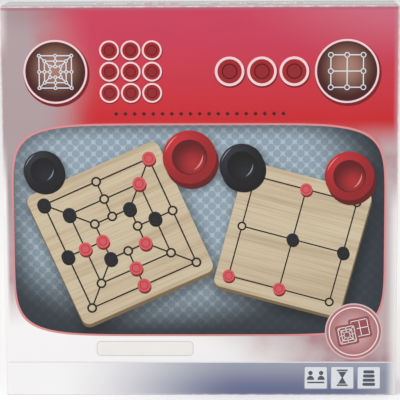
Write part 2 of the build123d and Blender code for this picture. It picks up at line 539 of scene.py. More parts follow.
@dataclass(frozen=True)
class GrainInk(Ink):
    """Pale wood as it is printed: glued strips with fine straight grain along one direction."""

    line: Tone = (186, 165, 134)  # the grain lines
    turn: float = 0.0  # the grain's direction on the face, in degrees
    strip: float = 0.011  # the strips' width, in metres
    bands: Triple = (7, 7, 150)  # how the broad bands and the fine lines are stretched
    fine: Triple = (22, 22, 1100)
    grain: Fade = Fade(0.33, 0.6)
    dark: float = 0.88  # the darkest strip's tone, as a share of the lines'

    def colour(self, shader: Shader) -> Socket:
        """Strips that differ a little, broad bands and fine lines of grain.

        Args:
            shader: the ink's tree.

        Returns:
            The colour before the film.
        """
        bands, lines = (shader.noise(1.0, 3.0, turn=self.turn, stretch=stretch)
                        for stretch in (self.bands, self.fine))
        grain = shader.between(shader.weigh(bands, lines, 0.55), *self.grain)
        wood = shader.mix(grain, self.line, self.tone)
        row = shader.math("DIVIDE", shader.apart(shader.place(turn=self.turn))[2], self.strip)
        tint = shader.node("TexWhiteNoise", {"W": shader.math("FLOOR", row)}, noise_dimensions="1D")
        return shader.mix(shader.product(tint.outputs["Value"], 0.3), wood, linear(self.line, self.dark))


@dataclass(frozen=True)
class Greyboard:
    """Raw grey board: soft fibres and darker flecks."""

    name: str = "greyboard"
    tone: Tone = (188, 182, 172)
    fleck: Tone = (158, 150, 138)

    def material(self) -> Material:
        """The board as a material.

        Returns:
            The material.
        """
        shader = Shader(self.name)
        fibre = shader.noise(420.0, 4.0, 0.6, stretch=(1, 3, 1))
        share = shader.between(shader.weigh(fibre, shader.noise(35.0, 3.0), 0.7), 0.35, 0.65)
        colour = shader.mix(share, self.fleck, self.tone)
        return shader.finish(Base_Color=colour, Roughness=0.92, Normal=shader.bump(fibre, 0.00003))


@dataclass(frozen=True)
class Paper:
    """Uncoated paper with a faint cloudiness, or laid lines where its pattern is stretched."""

    name: str
    tone: Tone
    scale: float  # of the pattern
    detail: float
    harshness: float  # how strong the pattern's fine detail is
    dark: float  # the darkest tone, as a share
    roughness: float
    relief: float  # in metres
    stretch: Triple = (1, 1, 1)

    def material(self) -> Material:
        """The paper as a material.

        Returns:
            The material.
        """
        shader = Shader(self.name)
        pattern = shader.noise(self.scale, self.detail, self.harshness, stretch=self.stretch)
        colour = shader.mix(pattern, linear(self.tone, self.dark), self.tone)
        return shader.finish(Base_Color=colour, Roughness=self.roughness,
                             Normal=shader.bump(pattern, self.relief))


STAY_PAPER = Paper("stay_paper", (190, 160, 112), 90.0, 3.0, 0.5, 0.82, 0.75, 0.00004, (1, 1, 14))
LEAFLET_PAPER = Paper("leaflet_paper", (236, 234, 228), 140.0, 5.0, 0.6, 0.94, 0.85, 0.00003)


@dataclass(frozen=True)
class BoardWood:
    """Pale close-grained wood under a satin varnish, sanded darker at its edge."""

    name: str = "board_wood"
    tone: Tone = (216, 198, 166)  # between the grain lines
    line: Tone = (184, 156, 118)
    burnt: Tone = (140, 104, 66)  # the edge, darkened by the saw and the varnish
    half: float = 0.115  # half the board's side, in metres
    middle: float = 0.1325  # the board's middle height
    burn: float = 0.0016  # how far in from the edge the dark reaches

    def material(self) -> Material:
        """The wood as a material.

        Returns:
            The material.
        """
        shader = Shader(self.name)
        wander = shader.noise(1.0, stretch=(2, 2, 6))
        bent = shader.vector("ADD", shader.place(stretch=(5, 60, 60)), wander)
        pores = shader.noise(1.0, 4.0, 0.62, stretch=(28, 900, 900))
        grain = shader.between(shader.weigh(shader.noise(1.6, 4.0, 0.55, bent), pores, 0.52), 0.37, 0.62)
        face = shader.mix(grain, self.line, self.tone)
        across, _, up = shader.apart()
        outer = shader.math("MAXIMUM", shader.away(across), shader.away(up, self.middle))
        edge = shader.between(outer, self.half - self.burn, self.half - 0.0002, 0.0, 0.85)
        return shader.finish(Base_Color=shader.mix(edge, face, self.burnt), Roughness=0.42,
                             Coat_Weight=0.35, Coat_Roughness=0.25, Normal=shader.bump(pores, 0.00005))


@dataclass(frozen=True)
class MouldedPlastic:
    """Glossy moulded plastic with faint flow marks and handling scratches."""

    name: str
    tone: Tone
    roughness: float = 0.2
    glow: float = 0.0  # how far light goes in, as the subsurface share
    flow: float = 0.12  # how much darker the flow marks are, as a share

    def material(self) -> Material:
        """The plastic as a material.

        Returns:
            The material.
        """
        shader = Shader(self.name)
        fine = shader.noise(700.0)
        colour = shader.mix(shader.noise(70.0, 3.0), linear(self.tone, 1 - self.flow), self.tone)
        rough = shader.between(fine, 0.3, 0.7, self.roughness * 0.75, self.roughness * 1.45)
        return shader.finish(Base_Color=colour, Roughness=rough, IOR=1.49, Subsurface_Weight=self.glow,
                             Subsurface_Radius=(0.002, 0.0016, 0.0014), Normal=shader.bump(fine, 0.000006))


# ---- Modelling helpers ----------------------------------------------------------------------------------
def deselect() -> None:
    """Leaves nothing selected, as every new primitive needs."""
    bpy.ops.object.select_all(action="DESELECT")


def alone(piece: Piece) -> None:
    """Selects one object and nothing else."""
    deselect()
    piece.select_set(True)
    bpy.context.view_layer.objects.active = piece


@contextmanager
def editing(piece: Piece) -> Iterator[None]:
    """Opens an object in edit mode with nothing selected, and closes it again.

    Args:
        piece: the object.

    Yields:
        Nothing: faces and edges are chosen with pick.
    """
    alone(piece)
    bpy.ops.object.mode_set(mode="EDIT")
    bpy.ops.mesh.select_all(action="DESELECT")
    yield
    bpy.ops.object.mode_set(mode="OBJECT")


def pick(piece: Piece, kind: str, test: Callable[..., bool]) -> None:
    """In edit mode, selects the faces or edges that pass a test, and nothing else.

    Args:
        piece: the object in edit mode.
        kind: "FACE" or "EDGE".
        test: takes a face or an edge and says whether it is wanted.
    """
    bpy.ops.mesh.select_mode(type=kind)
    bpy.ops.mesh.select_all(action="DESELECT")
    mesh = bmesh.from_edit_mesh(piece.data)
    for element in mesh.faces if kind == "FACE" else mesh.edges:
        element.select_set(test(element))
    bmesh.update_edit_mesh(piece.data)


def modify(piece: Piece, kind: str, **settings: object) -> None:
    """Adds a modifier to a piece and applies it.

    Args:
        piece: the piece.
        kind: the modifier's type.
        **settings: the modifier's own properties.
    """
    alone(piece)
    made = piece.modifiers.new(kind.lower(), kind)
    for key, value in settings.items():
        setattr(made, key, value)
    bpy.ops.object.modifier_apply(modifier=made.name)


def settle(piece: Piece) -> None:
    """Puts a piece's place, turn and scale into its mesh."""
    alone(piece)
    bpy.ops.object.transform_apply(location=True, rotation=True, scale=True)


def add_object(name: str, data: bpy.types.ID) -> Piece:
    """Adds a named object that holds a mesh, a camera or a light."""
    added = bpy.data.objects.new(name, data)
    bpy.context.scene.collection.objects.link(added)
    return added


def add_block(name: str, low: Vector, high: Vector) -> Piece:
    """Adds a named block between two corners, as the start of a piece.

    Args:
        name: the block's name.
        low: its lowest corner.
        high: its highest corner.

    Returns:
        The block.
    """
    deselect()
    bpy.ops.mesh.primitive_cube_add(size=1, location=(low + high) / 2)
    block = bpy.context.object
    block.name = block.data.name = name
    block.scale = high - low
    settle(block)
    return block


def smooth(piece: Piece, degrees: float = 32.0) -> None:
    """Smooths the shading across edges flatter than an angle."""
    alone(piece)
    bpy.ops.object.shade_smooth_by_angle(angle=math.radians(degrees))


def dress(piece: Piece, material: Material, body: str, replaced: str | None = None) -> None:
    """Gives a piece its material and body, and hides the node that it stands for.

    Args:
        piece: the finished mesh.
        material: what covers it.
        body: the body that it rides on.
        replaced: the node that it stands for, if it stands for one.
    """
    piece.data.materials.clear()
    piece.data.materials.append(material)
    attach(piece, body)
    if replaced:
        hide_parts(replaced)
    LOG.info("%s rides on %s", piece.name, body)


def dress_node(node: Piece, material: Material) -> None:
    """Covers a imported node, whose shape is right as it is, with a material.

    Args:
        node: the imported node.
        material: what covers it.
    """
    node.data.materials.clear()
    node.data.materials.append(material)
    LOG.info("%s keeps its own shape", node.name)


# ---- Printing -------------------------------------------------------------------------------------------
class Place(NamedTuple):
    """Where a group of shapes lies on a face, in millimetres and degrees counter-clockwise."""

    x: float = 0.0
    y: float = 0.0
    turn: float = 0.0

    def matrix(self, height: float = 0.0) -> Matrix:
        """From the group's own plane to the face's."""
        return Matrix.Translation((self.x, self.y, height)) @ Matrix.Rotation(math.radians(self.turn), 4, "Z")


class Face(Enum):
    """A face of the closed box that can be printed, by its outward direction and the reader's right."""

    COVER = ((0, -1, 0), (1, 0, 0))
    BACK = ((0, 1, 0), (-1, 0, 0))
    LEFT = ((-1, 0, 0), (0, -1, 0))
    RIGHT = ((1, 0, 0), (0, 1, 0))
    TOP = ((0, 0, 1), (1, 0, 0))

    def matrix(self, origin: Vector) -> Matrix:
        """From the face's own plane, in millimetres, to the frame.

        Args:
            origin: the frame's point under the plane's origin, in metres.

        Returns:
            The matrix.
        """
        outward, right = (Vector(axis) for axis in self.value)
        turned = Matrix((right, outward.cross(right), outward)).transposed().to_4x4()
        return Matrix.Translation(origin) @ turned @ Matrix.Scale(MM, 4)


@dataclass
class Stencil:
    """Flat shapes in one plane, in millimetres, that are printed together in one ink."""

    place: Place = Place()  # where the stencil's own origin lies on the face
    marks: list[Callable[[], None]] = field(default_factory=list)  # each draws one shape in edit mode

    def disc(self, x: float, y: float, radius: float, sides: int = 48) -> "Stencil":
        """Marks a filled circle."""
        self.marks.append(lambda: bpy.ops.mesh.primitive_circle_add(
            vertices=sides, radius=radius, fill_type="NGON", location=(x, y, 0)))
        return self

    def ring(self, x: float, y: float, radius: float, width: float, sides: int = 48) -> "Stencil":
        """Marks a circular line of a width inside a radius."""
        self.disc(x, y, radius, sides)
        self.marks.append(lambda: self.hollow(width))
        return self

    def plate(self, x: float, y: float, width: float, height: float, corner: float = 0.0,
              turn: float = 0.0) -> "Stencil":
        """Marks a filled rectangle, with rounded corners if corner is set.

        Args:
            x: its middle.
            y: the same, upwards.
            width: its width.
            height: its height.
            corner: the corners' radius.
            turn: its turn, counter-clockwise in degrees.

        Returns:
            The stencil.
        """
        turned = Matrix.Rotation(math.radians(turn), 2)
        self.outline([turned @ Vector((across * width / 2, up * height / 2)) + Vector((x, y))
                      for across, up in ((-1, -1), (1, -1), (1, 1), (-1, 1))])
        if corner:
            self.marks.append(lambda: bpy.ops.mesh.bevel(offset=corner, segments=7, affect="VERTICES"))
        return self

    def bar(self, start: Vector, end: Vector, width: float) -> "Stencil":
        """Marks a straight line from point to point."""
        run, middle = end - start, (start + end) / 2
        return self.plate(middle.x, middle.y, run.length, width, turn=math.degrees(math.atan2(run.y, run.x)))

    def outline(self, points: Sequence[Point]) -> "Stencil":
        """Marks a filled outline through points that run counter-clockwise."""
        self.disc(0, 0, 1, len(points))
        self.marks.append(lambda: self.reshape(points))
        return self

    def sickle(self, radius: float, start: float, end: float, share: float = 0.13) -> "Stencil":
        """Marks a thin sickle along a circle round the origin, widest in its middle.

        Args:
            radius: the circle's radius.
            start: where the sickle starts, in degrees.
            end: where it ends.
            share: its greatest width, as a share of the radius.

        Returns:
            The stencil.
        """
        steps = 20
        outer, inner = [], []
        for step in range(steps + 1):
            angle = math.radians(start + (end - start) * step / steps)
            reach = radius * (1 - share * math.sin(math.pi * step / steps))
            outer.append((radius * math.cos(angle), radius * math.sin(angle)))
            inner.append((reach * math.cos(angle), reach * math.sin(angle)))
        return self.outline(outer + inner[-2:0:-1])

    def hollow(self, width: float) -> None:
        """Takes the inside out of the shape just drawn and leaves a line of a width."""
        bpy.ops.mesh.inset(thickness=width)
        bpy.ops.mesh.delete(type="FACE")

    def reshape(self, points: Sequence[Point]) -> None:
        """Moves the corners of the circle just drawn to the given points, in the same order.

        Args:
            points: as many points as the circle has corners.
        """
        drawn = bpy.context.object.data
        mesh = bmesh.from_edit_mesh(drawn)
        corners = [vertex for vertex in mesh.verts if vertex.select]
        corners.sort(key=lambda vertex: math.atan2(vertex.co.y, vertex.co.x))
        for vertex, (x, y) in zip(corners, points):
            vertex.co = (x, y, 0)
        bmesh.update_edit_mesh(drawn)

    def cut(self, name: str) -> Piece:
        """Draws every mark into one flat mesh, in the stencil's own plane.

        Args:
            name: the mesh's name.

        Returns:
            The mesh, in millimetres.
        """
        deselect()
        drawn = add_object(name, bpy.data.meshes.new(name))
        with editing(drawn):
            bpy.ops.mesh.select_mode(type="FACE")
            for mark in self.marks:
                mark()
        return drawn


@dataclass
class Press:
    """Prints stencils on one face of one body, each ink a thin plate that reaches down to the sheet."""

    face: Face
    origin: Vector  # the frame's point under the face's own origin, in metres
    body: str  # what the print rides on
    slot: str  # the record's slot of the print
    prefix: str  # how the print's names start
    step: float = 0.02  # the thickness of one level, in millimetres

    def lay(self, name: str, stencil: Stencil, level: int, ink: Ink) -> None:
        """Prints a stencil.

        Args:
            name: the print's own name.
            stencil: the shapes.
            level: its place in the stack, from 1 upwards.
            ink: what it is printed in.
        """
        piece = stencil.cut(f"{self.prefix}_{name}")
        height = level * self.step
        piece.matrix_world = self.face.matrix(self.origin) @ stencil.place.matrix(height)
        settle(piece)
        modify(piece, "SOLIDIFY", thickness=height * MM, offset=-1.0)
        dress(piece, ink.material(), self.body)

    def point(self, place: Place, x: float, y: float) -> Triple:
        """The frame's point, in metres, of a point in a group's own plane."""
        return tuple(self.face.matrix(self.origin) @ place.matrix() @ Vector((x, y, 0)))


def full_oval(half: Point, power: float, count: int = 128) -> list[Point]:
    """The points of a full-cornered oval, counter-clockwise.

    Args:
        half: half its width and height.
        power: 2 is an ellipse, and more is squarer.
        count: how many points.

    Returns:
        The points.
    """
    angles = [2 * math.pi * index / count for index in range(count)]
    return [tuple(reach * math.copysign(abs(share) ** (2 / power), share)
                  for reach, share in zip(half, (math.cos(angle), math.sin(angle)))) for angle in angles]


class Game(Enum):
    """The two traditional line figures, by how many squares they nest."""

    NINE = 3
    THREE = 1

    def label(self) -> str:
        """How the names of its pieces call it."""
        return self.name.lower()


@dataclass
class MorrisFigure:
    """The lines and places of a mens morris game, in millimetres."""

    game: Game
    half: float  # half the outer square's side
    line: float  # the lines' width
    ring: float = 0.0  # the outer radius of the ring at a place, or 0 for lines alone
    ring_line: float = 0.0  # the ring's width
    overlap: float = 0.012  # how far a line runs into a ring, as a share of the ring's radius

    def places(self) -> list[Vector]:
        """Every point where a man may stand, square by square, counter-clockwise from the right.

        Returns:
            The points, from the figure's middle.
        """
        squares = self.game.value
        around = [(1, 0), (1, 1), (0, 1), (-1, 1), (-1, 0), (-1, -1), (0, -1), (1, -1)]
        points = [Vector(corner) * self.half * (squares - index) / squares
                  for index in range(squares) for corner in around]
        return points + ([Vector((0, 0))] if self.game is Game.THREE else [])

    def links(self) -> list[tuple[int, int]]:
        """The pairs of places that a line joins: round each square, and then across.

        Returns:
            Each line's two places, by number.
        """
        ringed = 8 * self.game.value
        round_squares = [(index, index - index % 8 + (index + 1) % 8) for index in range(ringed)]
        if self.game is Game.THREE:
            return round_squares + [(index, ringed) for index in range(0, ringed, 2)]
        return round_squares + [(index, index + 8) for index in range(ringed - 8)]

    def draw(self, stencil: Stencil, x: float = 0.0, y: float = 0.0) -> Stencil:
        """Draws the lines, and a ring round every place but the three game's middle. Lines stop at rings.

        Args:
            stencil: what it is drawn on.
            x: the figure's middle.
            y: the same, upwards.

        Returns:
            The stencil.
        """
        places = [Vector((x, y)) + place for place in self.places()]
        ringed = 8 * self.game.value
        inset = -self.line / 2
        if self.ring:
            inset = math.sqrt(self.ring ** 2 - self.line ** 2 / 4) - self.overlap * self.ring
        for start, end in self.links():
            along = (places[end] - places[start]).normalized()
            end_inset = inset if end < ringed else self.line / 2 * (start % 4 == 2)
            stencil.bar(places[start] + along * inset, places[end] - along * end_inset, self.line)
        if self.ring:
            for place in places[:ringed]:
                stencil.ring(place.x, place.y, self.ring, self.ring_line, 32)
        return stencil


# ---- Inks and tones of the printed designs --------------------------------------------------------------
WHITE_INK = Ink("white_ink", (240, 238, 236))
BLACK_INK = Ink("black_ink", (24, 19, 14))
PINK_LINE = Ink("pale_line_ink", (220, 140, 142))
EDGE_INK = Ink("pale_edge_ink", (244, 208, 212))
FIGURE_INK = Ink("pale_figure_ink", (222, 226, 236))
DEEP_RED = Ink("deep_red_ink", (122, 20, 32))
GREY_BAR = Ink("grey_bar_ink", (122, 124, 132))
WOOD_EDGE = Ink("wood_edge_ink", (122, 100, 68))
BACK_WOOD = GrainInk("back_wood_ink", (214, 200, 168))
MEN_TONES = {  # a pictured man's side, rim and dish
    "red": ((124, 18, 28), (210, 84, 92), (184, 52, 62)),
    "black": ((8, 8, 10), (28, 29, 34), (14, 15, 18)),
}
LARGE_MEN_TONES = {  # a large man's side, bright rim, rim, dark wall, floor and glint
    "red": ((98, 10, 16), (192, 40, 46), (150, 26, 32), (96, 8, 14), (170, 38, 42), (226, 132, 134)),
    "black": ((5, 5, 7), (42, 44, 54), (15, 16, 20), (6, 6, 8), (28, 29, 37), (132, 135, 146)),
}


# ---- Printed designs ------------------------------------------------------------------------------------
class Layer(NamedTuple):
    """One layer of a round man seen from above, its lengths as shares of the man's radius."""

    part: str
    size: float  # the disc's or the ring's radius
    ink: Ink
    right: float = 0.0  # how far it lies from the man's middle
    down: float = 0.0
    line: float = 0.0  # the width of a ring's line, or 0 for a disc


def dished_layers(colour: str, right: float, down: float, dish: float, line: float) -> list[Layer]:
    """The layers of a man on a pictured board: a side that shows below, a rim, and the dish's line.

    Args:
        colour: "red" or "black".
        right: how far the side lies to the right.
        down: how far it lies down.
        dish: the dish's radius.
        line: its line's width.

    Returns:
        The layers.
    """
    side_ink, rim_ink, dish_ink = (Ink(f"{colour}_man_{part}_ink", tone)
                                   for part, tone in zip(("side", "rim", "dish"), MEN_TONES[colour]))
    return [Layer("sides", 1.0, side_ink, right, down), Layer("rims", 1.0, rim_ink),
            Layer("dishes", dish, dish_ink, line=line)]


FLAT_MAN = (Layer("men_shade", 1.17, DEEP_RED, 0.045, 0.09), Layer("men_edge", 1.12, EDGE_INK),
            Layer("men_rim", 0.92, Ink("heading_red_ink", (160, 34, 40))),
            Layer("men_wall", 0.6, Ink("heading_dark_ink", (96, 12, 20)), line=0.09),
            Layer("men_dish", 0.53, Ink("heading_dish_ink", (148, 34, 42))))


def men_block(x: float, y: float, pitch: float, radius: float, rows: Sequence[int] = (0,)) -> list[Triple]:
    """Three columns of men, each by its x, y and radius."""
    return [(x + pitch * column, y + pitch * row, radius) for column in range(3) for row in rows]


class DrawnBoard(NamedTuple):
    """A board seen from above, with the numbers of the places where each colour stands."""

    game: Game
    place: Place
    side: float  # in millimetres
    men: dict[str, Sequence[int]]


class LargeMan(NamedTuple):
    """A large man on the cover, with its radius in millimetres."""

    name: str
    colour: str
    place: Place
    radius: float


@dataclass
class Design:
    """Shapes that several printed faces share. A level is a print's place in the stack, from 1 upwards."""

    press: Press

    def stack(self, name: str, level: int, *layers: tuple[str, Stencil, Ink]) -> None:
        """Prints layers, each one level above the last.

        Args:
            name: how their names start.
            level: the first layer's level.
            *layers: the end of each layer's name, its shapes and its ink.
        """
        for rise, (part, shape, ink) in enumerate(layers):
            self.press.lay(name + part, shape, level + rise, ink)

    def medals(self, place: Place, across: Point, y: float, radius: float) -> None:
        """A brown disc with a white edge for each game, which carries its figure.

        Args:
            place: the group's place on the face.
            across: each medal's middle in the group.
            y: the same, upwards.
            radius: the brown disc's radius.
        """
        rim = 0.065 * radius
        for game, x, ring in zip(Game, across, (0.062, 0.095)):
            lit = self.press.point(place, x, y + 0.12 * radius)
            brown = GlowInk(f"{self.press.prefix}_{game.label()}_brown_ink", (68, 24, 22),
                            middle=(162, 122, 106), centre=lit, reach=1.02 * radius * MM,
                            start=0.08 * radius * MM)
            figure = MorrisFigure(game, 0.54 * radius, 0.036 * radius, ring * radius, 0.03 * radius)
            self.stack(f"{game.label()}_medal", 1,
                       ("_shade", Stencil(place).disc(x + 0.6 * rim, y - rim, radius + 1.6 * rim, 96),
                        DEEP_RED),
                       ("_edge", Stencil(place).disc(x, y, radius + rim, 96), EDGE_INK),
                       ("", Stencil(place).disc(x, y, radius, 96), brown),
                       ("_figure", figure.draw(Stencil(place), x, y), FIGURE_INK))

    def men(self, name: str, place: Place, men: Sequence[Triple], level: int, layers: Sequence[Layer],
            sides: int = 40) -> None:
        """Men seen from above, layer by layer. A fifth layer shares the fourth one's level.

        Args:
            name: what the group is called.
            place: the group's place on the face.
            men: each man's x, y and radius.
            level: the first layer's level.
            layers: what each man is made of.
            sides: how many sides the circles have.
        """
        for rise, layer in enumerate(layers):
            shape = Stencil(place)
            for x, y, radius in men:
                middle = x + layer.right * radius, y - layer.down * radius
                if layer.line:
                    shape.ring(*middle, layer.size * radius, layer.line * radius, sides)
                else:
                    shape.disc(*middle, layer.size * radius, sides)
            self.press.lay(f"{name}_{layer.part}", shape, level + min(rise, 3), layer.ink)

    def wooden_board(self, name: str, board: DrawnBoard, level: int, grain: GrainInk) -> None:
        """A wooden board with men at play on its places.

        Args:
            name: the board's name.
            board: the board.
            level: the lowest level that it uses.
            grain: its wood.
        """
        place, side = board.place, board.side
        corner = 0.055 * side
        edge = Stencil(place._replace(x=place.x + 0.004 * side, y=place.y - 0.024 * side))
        figure = MorrisFigure(board.game, 0.4 * side, 0.0106 * side, 0.035 * side, 0.013 * side)
        self.stack(name, level, ("_edge", edge.plate(0, 0, side, side, corner), WOOD_EDGE),
                   ("_wood", Stencil(place).plate(0, 0, side, side, corner), grain),
                   ("_figure", figure.draw(Stencil(place)), BLACK_INK))
        drop = place.matrix().inverted().to_3x3() @ Vector((0.1, -0.3, 0))
        for colour, numbers in board.men.items():
            men = [(*figure.places()[number], 0.047 * side) for number in numbers]
            self.men(f"{name}_{colour}", place, men, level + 3,
                     dished_layers(colour, drop.x, -drop.y, 0.66, 0.14), 32)

    def bars(self, name: str, x: float, top: float, widths: Sequence[float], level: int, ink: Ink,
             thick: float = 1.5, pitch: float = 3.6) -> None:
        """A block of plain bars that stands where a text would be, aligned to the left.

        Args:
            name: the block's name.
            x: the bars' left end.
            top: the first bar's height.
            widths: each bar's length.
            level: the level that they use.
            ink: their ink.
            thick: their thickness.
            pitch: from bar to bar.
        """
        shape = Stencil()
        for row, width in enumerate(widths):
            shape.plate(x + width / 2, top - row * pitch, width, thick, 0.4 * thick)
        self.press.lay(name, shape, level, ink)

    def label(self, x: float, y: float, height: float) -> None:
        """A bare white label with a grey edge."""
        self.stack("label", 1,
                   ("_edge", Stencil().plate(x, y, 66, height, 3), Ink("label_edge_ink", (212, 206, 208))),
                   ("", Stencil().plate(x, y, 64.8, height - 1.2, 2.4), WHITE_INK))

    def signs(self, place: Place) -> None:
        """Three small signs in a row: two players, an hourglass and a stack of men.

        Args:
            place: the middle sign's place on the face.
        """
        pitch, size = 18.0, 16.2
        edges, faces, drawn = Stencil(place), Stencil(place), Stencil(place)
        for column in (-1, 0, 1):
            edges.plate(column * pitch, 0, size, size, 1.0)
            faces.plate(column * pitch, 0, size - 1.2, size - 1.2, 0.7)
        for side in (-1, 1):
            x = -pitch + side * 3.6
            drawn.disc(x, 3.3, 1.5, 24)
            arc = [math.radians(step * 15) for step in range(13)]
            drawn.outline([(x + 2.5 * math.cos(angle), -1.5 + 2.9 * math.sin(angle)) for angle in arc])
        drawn.plate(-pitch, -3.3, 11.6, 1.1, 0.3)
        drawn.plate(0, 5.2, 7.4, 1.1, 0.3).plate(0, -5.2, 7.4, 1.1, 0.3)
        drawn.outline([(-2.9, 4.2), (-0.4, 0), (0.4, 0), (2.9, 4.2)])
        drawn.outline([(-0.4, 0), (-2.9, -4.2), (2.9, -4.2), (0.4, 0)])
        for row in range(4):
            drawn.plate(pitch, -4.6 + row * 2.9, 8.6 - 0.4 * row, 2.2, 0.9)
        self.stack("sign", 1, ("_edges", edges, Ink("sign_edge_ink", (146, 152, 170))),
                   ("_faces", faces, Ink("sign_face_ink", (226, 229, 234))),
                   ("s", drawn, Ink("sign_ink", (84, 88, 98))))


@dataclass
class CoverDesign(Design):
    """The cover: a dotted panel with two boards at play, men, medals, a seal and a row of signs."""

    panel: Place = Place(-1.0, 114.0)
    panel_half: Point = (124.5, 71.5)  # half its width and height
    panel_power: float = 6.5  # how square it is
    heading_y: float = 221.5  # the height of the medals' middles
    board_level: int = 4  # the levels where the boards, the large men and the seal start
    large_level: int = 10
    seal_level: int = 7
    boards: tuple[DrawnBoard, ...] = (
        DrawnBoard(Game.NINE, Place(-54.0, 112.0, 24.0), 97.0,
                   {"red": (1, 6, 9, 12, 14, 20, 23), "black": (3, 4, 8, 11, 17, 21)}),
        DrawnBoard(Game.THREE, Place(62.0, 108.0, -15.0), 88.0, {"red": (2, 5, 6), "black": (0, 8)}))
    large_men: tuple[LargeMan, ...] = (LargeMan("large_red_man_1", "red", Place(-7.0, 164.0), 18.0),
                                       LargeMan("large_black_man_1", "black", Place(28.0, 158.0), 15.0),
                                       LargeMan("large_black_man_2", "black", Place(-105.0, 155.0), 13.5),
                                       LargeMan("large_red_man_2", "red", Place(100.0, 151.0), 16.5))

    def print_all(self) -> None:
        """Prints the whole cover."""
        self.print_panel()
        for board in self.boards:
            name = f"{board.game.label()}_board"
            wood = GrainInk(f"{name}_wood_ink", (208, 194, 166), turn=board.place.turn)
            self.wooden_board(name, board, self.board_level, wood)
        for man in self.large_men:
            self.print_large_man(man)
        self.print_heading()
        self.label(-38.0, 32.6, 10.4)
        line = Stencil().plate(0, 23.0, 262.0, 0.8)
        self.press.lay("band_line", line, 1, Ink("band_line_ink", (226, 226, 232)))
        self.signs(Place(96.0, 12.2))
        self.print_seal(Place(103.5, 44.5, 12.0))

    def print_panel(self) -> None:
        """The dotted ground inside a pale line, with the shadows of what is drawn over it."""
        shadows = [Shadow(place.x + 2.0, place.y - 4.5, place.turn, side / 2 - 5, 5.0, 9.0, 0.6)
                   for _, place, side, _ in self.boards]
        shadows += [Shadow(place.x + 1.5, place.y - 3.5, 0.0, 0.0, radius, 6.0, 0.55)
                    for _, _, place, radius in self.large_men]
        dots = DottedInk("dotted_ground_ink", (142, 160, 173), shadows=tuple(shadows), power=self.panel_power,
                         middle=(self.panel.x * MM, 0, self.panel.y * MM),
                         half=tuple(reach * MM for reach in self.panel_half))
        line, ground = (Stencil(self.panel).outline(full_oval([reach + grow for reach in self.panel_half],
                                                              self.panel_power)) for grow in (1.3, 0.0))
        self.stack("panel", 2, ("_line", line, PINK_LINE), ("_ground", ground, dots))

    def print_large_man(self, man: LargeMan) -> None:
        """A large dished man, lit from the upper left.

        Args:
            man: the man.
        """
        side, bright, rim, dark, floor, glint = LARGE_MEN_TONES[man.colour]
        name, _, place, radius = man
        reach = 1.35 * radius * MM
        rim_ink = GlowInk(f"{name}_rim_ink", rim, middle=bright, reach=reach,
                          centre=self.press.point(place, -0.4 * radius, 0.5 * radius))
        dish_ink = GlowInk(f"{name}_dish_ink", dark, middle=floor, reach=0.62 * reach,
                           centre=self.press.point(place, 0.16 * radius, -0.26 * radius))
        layers = (Layer("side", 1.0, Ink(f"{name}_side_ink", side), 0.09, 0.2), Layer("rim", 1.0, rim_ink),
                  Layer("wall", 0.66, Ink(f"{name}_wall_ink", dark)),
                  Layer("dish", 0.58, dish_ink, 0.03, 0.05))
        self.men(name, place, [(0, 0, radius)], self.large_level, layers, 72)
        glints = Stencil(place).sickle(0.5 * radius, -72, 12).sickle(0.92 * radius, 118, 168, 0.05)
        self.press.lay(f"{name}_glints", glints, self.large_level + 4, Ink(f"{name}_glint_ink", glint))

    def print_heading(self) -> None:
        """The two medals, as many men as the game beside each is played with, and a row of beads."""
        self.medals(Place(), (-96.0, 98.0), self.heading_y, 20.0)
        men = men_block(-60.0, self.heading_y, 14.2, 5.9, (-1, 0, 1))
        men += men_block(20.0, self.heading_y, 21.5, 8.8)
        self.men("heading", Place(), men, 1, FLAT_MAN)
        beads = Stencil()
        for index in range(-9, 10):
            beads.plate(index * 6.2, 193.2, 2.2, 2.2, turn=45)
        self.press.lay("heading_beads", beads, 1, Ink("dark_bead_ink", (70, 20, 28)))

    def print_seal(self, place: Place) -> None:
        """A round seal with an edge and a thin line, and a small square of each game inside.

        Args:
            place: the seal's place on the face.
        """
        rose = GlowInk("seal_ground_ink", (178, 114, 118), middle=(212, 180, 182),
                       centre=self.press.point(place, 0, 0), reach=0.018)
        edge, squares = Ink("seal_edge_ink", (222, 188, 190)), Ink("seal_square_ink", (150, 78, 84))
        self.stack("seal", self.seal_level, ("_edge", Stencil(place).disc(0, 0, 19.4, 96), edge),
                   ("_ground", Stencil(place).disc(0, 0, 18.5, 96), rose),
                   ("_line", Stencil(place).ring(0, 0, 16.9, 0.7, 96), WHITE_INK))
        for game, shift, rise in ((Game.THREE, 4.8, 2), (Game.NINE, -4.8, 4)):
            figure = MorrisFigure(game, 5.5, 0.5).draw(Stencil(place), shift, 0.3 * shift)
            self.stack(f"seal_{game.label()}", self.seal_level + rise,
                       ("_ground", Stencil(place).plate(shift, 0.3 * shift, 14.4, 14.4, 1.4), squares),
                       ("_figure", figure, WHITE_INK))


@dataclass
class WallDesign(Design):
    """One of the lid's walls: both medals, with the men of each game beside it."""

    def print_along(self, place: Place) -> None:
        """Prints the row.

        Args:
            place: the wall's middle, turned so that the row runs along the wall.
        """
        self.medals(place, (-57.0, 57.0), 0, 13.5)
        men = men_block(-34.5, 0.0, 8.6, 3.5, (-1, 0, 1)) + men_block(10.0, 0.0, 12.6, 5.1)
        self.men("wall", place, men, 1, FLAT_MAN)


